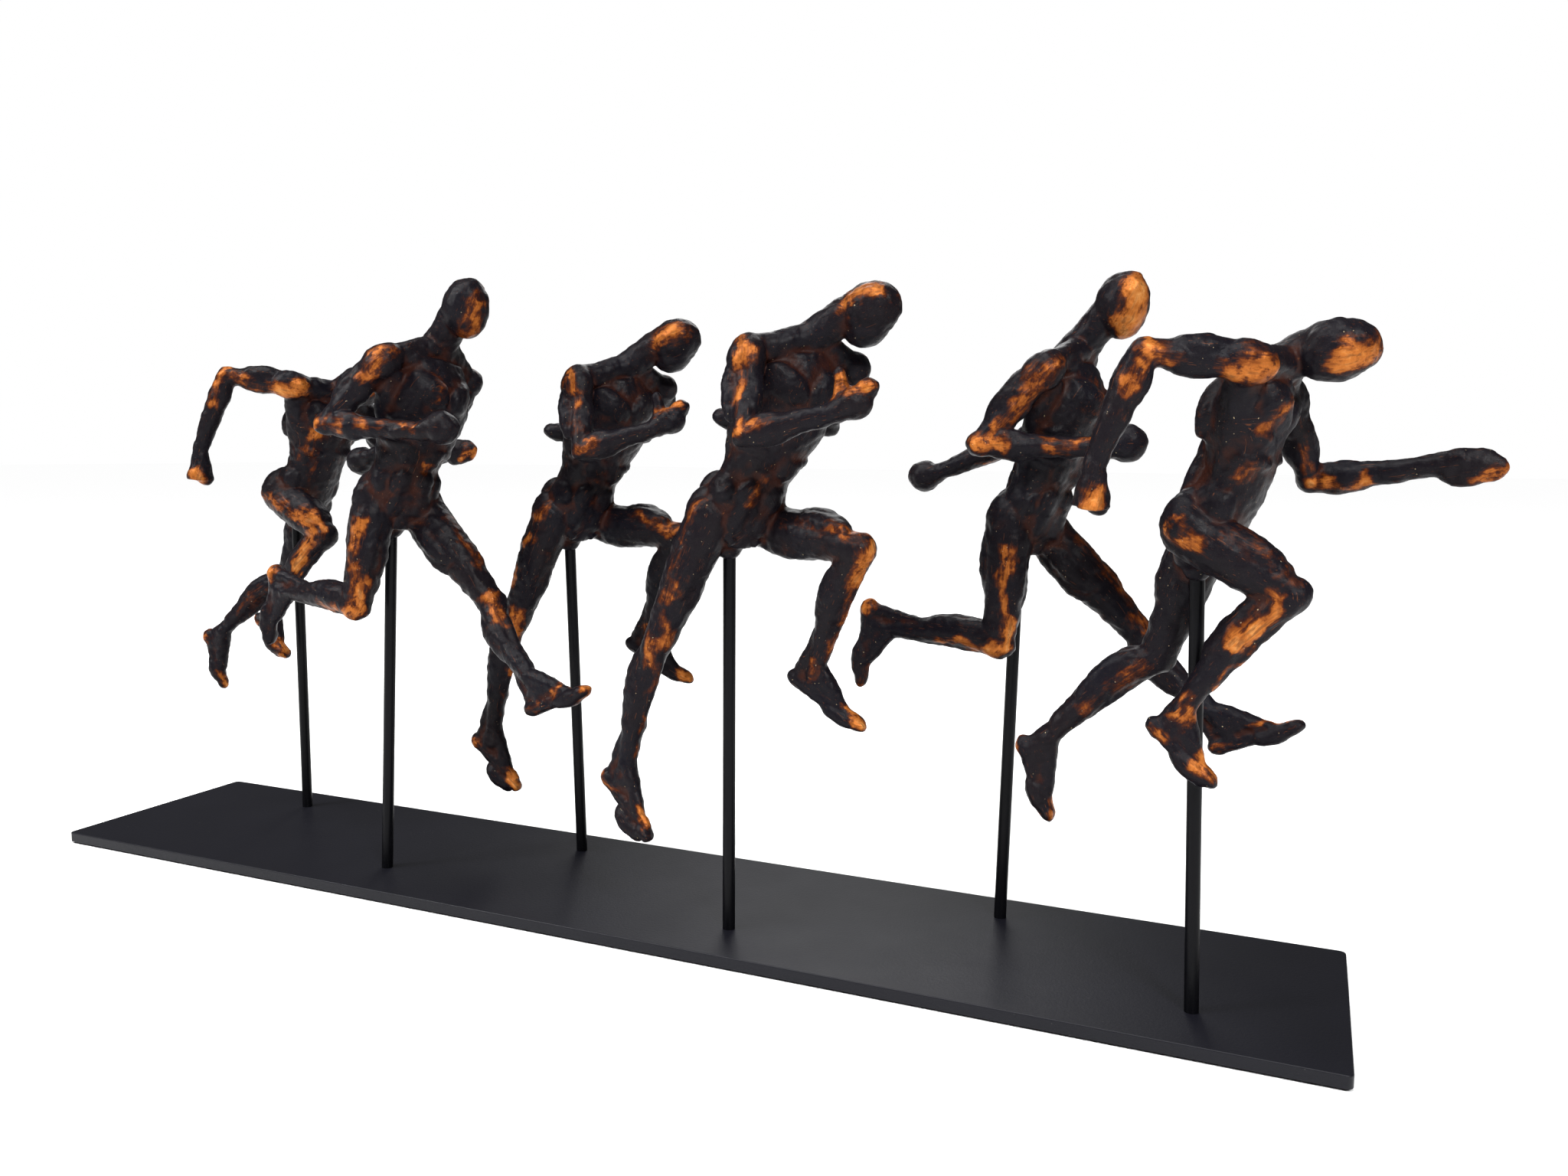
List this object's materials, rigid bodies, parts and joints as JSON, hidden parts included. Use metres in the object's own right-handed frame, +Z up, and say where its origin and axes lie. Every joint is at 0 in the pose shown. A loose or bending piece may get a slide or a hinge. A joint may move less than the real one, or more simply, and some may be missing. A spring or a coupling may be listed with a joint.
{
  "type": "figure trophy",
  "caption": "Runners in mid-stride, cast with a dark bronze patina, each standing on a slim steel rod above one long flat black steel plate.",
  "frame": {"origin": "middle of the felt's underside, which is the surface that the trophy stands on, under the middle of the plate", "axes": "+X along the plate, the way the runners go; +Y across the plate, to the runners' left; +Z up, away from the plate"},
  "size_m": [0.6166, 0.1437, 0.2682],
  "materials": {
    "bronze_patina": "near-black brown patina rubbed through to copper on the high places",
    "powder_coat": "satin black powder coat",
    "rod_enamel": "satin black enamel",
    "screw_steel": "zinc plated",
    "felt": "black felt"
  },
  "bodies": {
    "root": {"base_plate": "powder_coat", "felt_underlay": "felt", "rod_back_left": "rod_enamel", "rod_back_middle": "rod_enamel", "rod_back_right": "rod_enamel", "rod_front_left": "rod_enamel", "rod_front_middle": "rod_enamel", "rod_front_right": "rod_enamel", "runner_back_left": "bronze_patina", "runner_back_middle": "bronze_patina", "runner_back_right": "bronze_patina", "runner_front_left": "bronze_patina", "runner_front_middle": "bronze_patina", "runner_front_right": "bronze_patina", "screw_back_left": "screw_steel", "screw_back_middle": "screw_steel", "screw_back_right": "screw_steel", "screw_front_left": "screw_steel", "screw_front_middle": "screw_steel", "screw_front_right": "screw_steel"}
  },
  "joints": []
}
